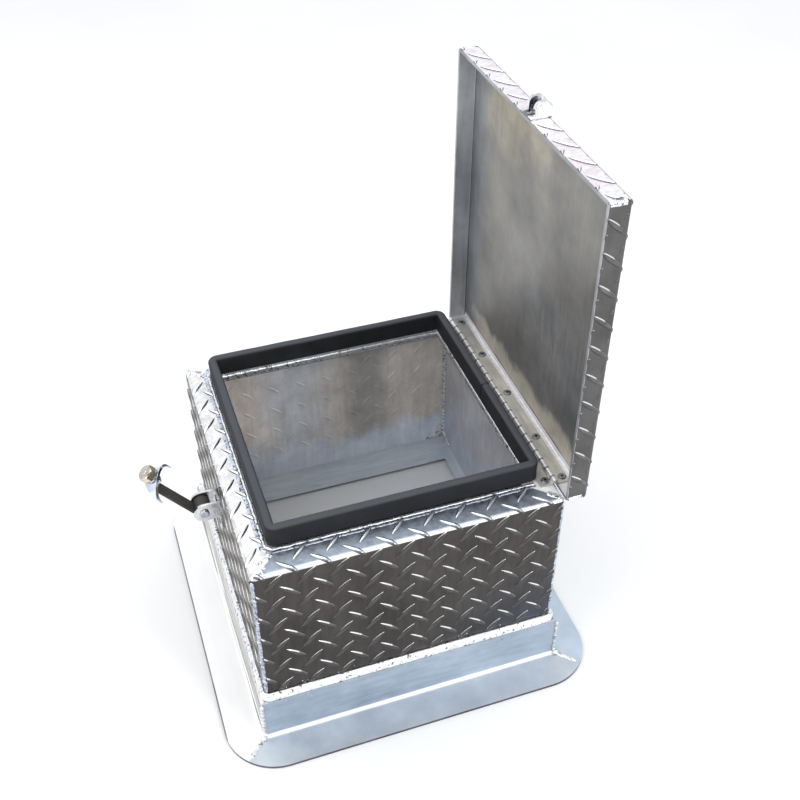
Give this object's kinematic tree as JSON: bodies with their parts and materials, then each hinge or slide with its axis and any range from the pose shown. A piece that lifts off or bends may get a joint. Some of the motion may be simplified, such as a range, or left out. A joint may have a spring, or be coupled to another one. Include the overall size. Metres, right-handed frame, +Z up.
{
  "type": "deck hatch",
  "caption": "Raised tread-plate deck hatch on a weld-down flange, with a piano-hinged pan lid standing open, a rubber lid seal and a draw latch.",
  "frame": {"origin": "centre of the box on the underside of the deck flange", "axes": "+Z up out of the deck, +X towards the hinge side, -X towards the latch, -Y towards the front"},
  "size_m": [0.4211, 0.3988, 0.5663],
  "materials": {
    "tread_plate": "bright mill finish with raised lugs, smudged and handled",
    "base_plate": "mill finish, faint rolling lines",
    "weld_metal": "as laid weld bead with sooty edges",
    "lip_plate": "mill finish",
    "seal_rubber": "matt black rubber, greyed on top",
    "hinge_metal": "mill finish",
    "pin_steel": "drawn wire",
    "rivet_metal": "plain",
    "bracket_metal": "plated, bright",
    "strap_rubber": "matt dark rubber",
    "stud_steel": "plated",
    "handle_metal": "polished",
    "nut_zinc": "yellow zinc plate"
  },
  "bodies": {
    "base": {"base_angle_front": "base_plate", "wall_front": "tread_plate", "base_angle_back": "base_plate", "wall_back": "tread_plate", "base_angle_left": "base_plate", "wall_left": "tread_plate", "base_angle_right": "base_plate", "wall_right": "tread_plate", "base_corner_welds": "weld_metal", "base_weld": "weld_metal", "wall_corner_welds": "weld_metal", "top_mitre_welds": "weld_metal", "coaming": "lip_plate", "lid_seal": "seal_rubber", "hinge_leaf_box": "hinge_metal", "hinge_pin": "pin_steel", "hinge_rivets_box": "rivet_metal", "latch_bracket": "bracket_metal", "bracket_rivets": "rivet_metal"},
    "lid": {"hinge_leaf_lid": "hinge_metal", "hinge_rivets_lid": "rivet_metal", "lid_pan": "tread_plate", "lid_corner_welds": "weld_metal", "keeper": "bracket_metal", "keeper_rivet": "rivet_metal"},
    "pin": {"latch_pin": "pin_steel"},
    "strap": {"latch_strap": "strap_rubber"},
    "pull": {"latch_stud": "stud_steel", "latch_washer": "stud_steel", "latch_nut": "nut_zinc"},
    "handle": {"latch_handle": "handle_metal"}
  },
  "joints": [
    {"name": "lid_hinge", "type": "hinge", "parent": "base", "child": "lid", "pos_m": [0.1512, 0, 0.2368], "axis": [0, -1, 0], "range_deg": [0, 90]},
    {"name": "latch_swing", "type": "hinge", "parent": "base", "child": "pin", "pos_m": [-0.17, 0, 0.1814], "axis": [0, 1, 0], "range_deg": [-140, 0]},
    {"name": "latch_draw", "type": "hinge", "parent": "pin", "child": "strap", "pos_m": [-0.17, 0, 0.1814], "axis": [0, 1, 0], "range_deg": [0, 37.5]},
    {"name": "strap_stretch", "type": "slide", "parent": "strap", "child": "pull", "axis": [-0.6088, 0, 0.7934], "range_m": [0, 0.016]},
    {"name": "handle_turn", "type": "hinge", "parent": "pull", "child": "handle", "pos_m": [-0.21109, 0, 0.23495], "axis": [-0.6088, 0, 0.7934], "range_deg": [0, 31]}
  ],
  "couplings": [
    {"joint": "strap_stretch", "follows": "latch_draw", "m_per_rad": 0.024444},
    {"joint": "handle_turn", "follows": "latch_draw", "ratio": 0.82658}
  ]
}
